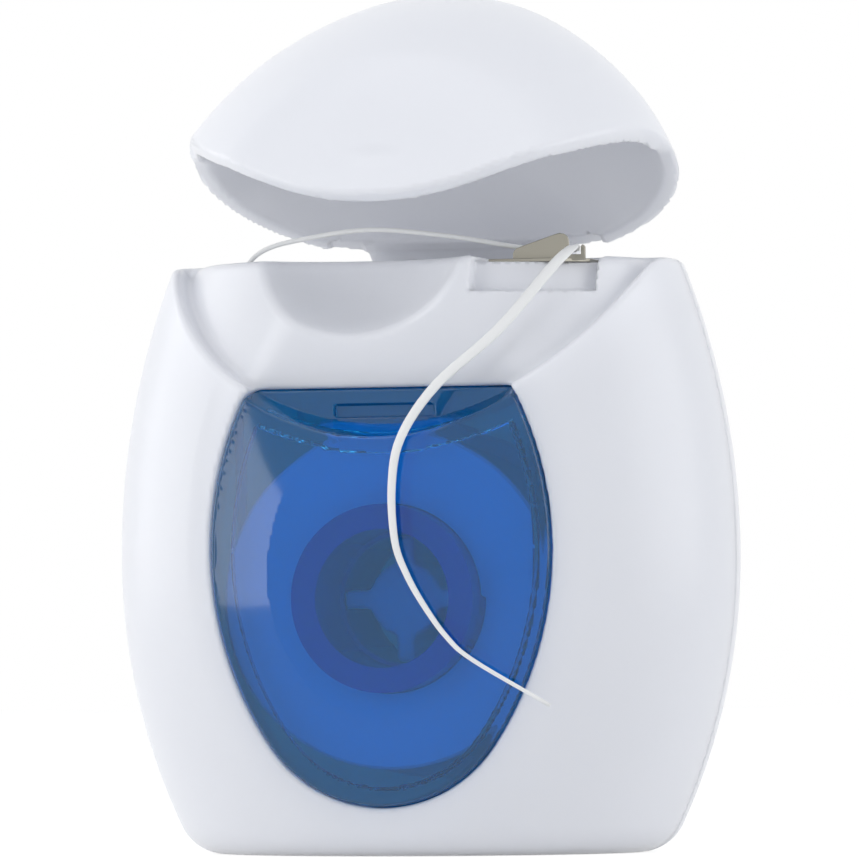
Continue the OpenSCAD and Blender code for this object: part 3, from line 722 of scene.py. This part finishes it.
# Studio: a white floor and background, softboxes at the front left, at both sides and above, and a pale
# surround that fills the shadows. White comes from the Light Path nodes, not from the lamps.
def seen_white(tree, lit, white, share):
    """Mixes that share of a plain white into what the camera, reflections and clear plastic see."""
    rays = add(tree, "ShaderNodeLightPath")
    direct = add(tree, "ShaderNodeMath",
                 {0: rays.outputs["Is Camera Ray"], 1: rays.outputs["Is Transmission Ray"]},
                 operation="MAXIMUM")
    any_ray = add(tree, "ShaderNodeMath", {0: direct.outputs[0], 1: rays.outputs["Is Glossy Ray"]},
                  operation="MAXIMUM")
    amount = add(tree, "ShaderNodeMath", {0: any_ray.outputs[0], 1: share}, operation="MULTIPLY")
    return add(tree, "ShaderNodeMixShader", {0: amount.outputs[0], 1: lit, 2: white})


world = bpy.data.worlds.new("studio")
bpy.context.scene.world = world
world.use_nodes = True
tree = world.node_tree
tree.nodes.clear()
pale = add(tree, "ShaderNodeBackground", {"Color": srgb("#F2F6FF"), "Strength": 0.54})
plain = add(tree, "ShaderNodeBackground", {"Color": (1, 1, 1, 1), "Strength": 1})
seen = seen_white(tree, pale.outputs[0], plain.outputs[0], 1.0)
add(tree, "ShaderNodeOutputWorld", {"Surface": seen.outputs[0]})


case_middle = Vector((0, 0, 30 * MM))


def softbox(name, place, size, power):
    """An area lamp that faces the case, in metres and watts."""
    light = bpy.data.lights.new(name, "AREA")
    light.shape = "RECTANGLE"
    light.size, light.size_y = size
    light.energy = power
    box = bpy.data.objects.new(name, light)
    bpy.context.scene.collection.objects.link(box)
    box.location = place
    box.rotation_mode = "QUATERNION"
    box.rotation_quaternion = (case_middle - Vector(place)).to_track_quat("-Z", "Y")


softbox("left", place=(-0.29, -0.34, 0.1), size=(0.14, 0.5), power=0.6)
softbox("left side", place=(-0.42, 0.02, 0.14), size=(0.3, 0.4), power=0.45)
softbox("right side", place=(0.42, 0.0, 0.14), size=(0.3, 0.4), power=0.6)
softbox("top", place=(0, -0.1, 0.5), size=(0.4, 0.4), power=0.45)

# The floor's own white is a little over 1, so that it is white where the lamps reach it and darker in the
# case's shadow.
floor_half, floor_drop = 2.0, 0.02 * MM
floor_corners = [(x * floor_half, y * floor_half, 0) for x, y in ((-1, -1), (1, -1), (1, 1), (-1, 1))]
floor_mesh = bpy.data.meshes.new("floor")
floor_mesh.from_pydata(floor_corners, [], [(0, 1, 2, 3)])
floor = bpy.data.objects.new("floor", floor_mesh)
bpy.context.scene.collection.objects.link(floor)
floor.location.z = -floor_drop
paper, tree, shader = finish_of("white_paper_floor", Base_Color=srgb("#F4F4F4"), Roughness=0.6)
glow = add(tree, "ShaderNodeEmission", {"Color": (1, 1, 1, 1), "Strength": 1.2})
seen = seen_white(tree, shader.outputs[0], glow.outputs[0], 0.7)
out = next(n for n in tree.nodes if n.type == "OUTPUT_MATERIAL")
tree.links.new(seen.outputs[0], out.inputs["Surface"])
floor_mesh.materials.append(paper)

bpy.context.scene.view_settings.view_transform = "Standard"
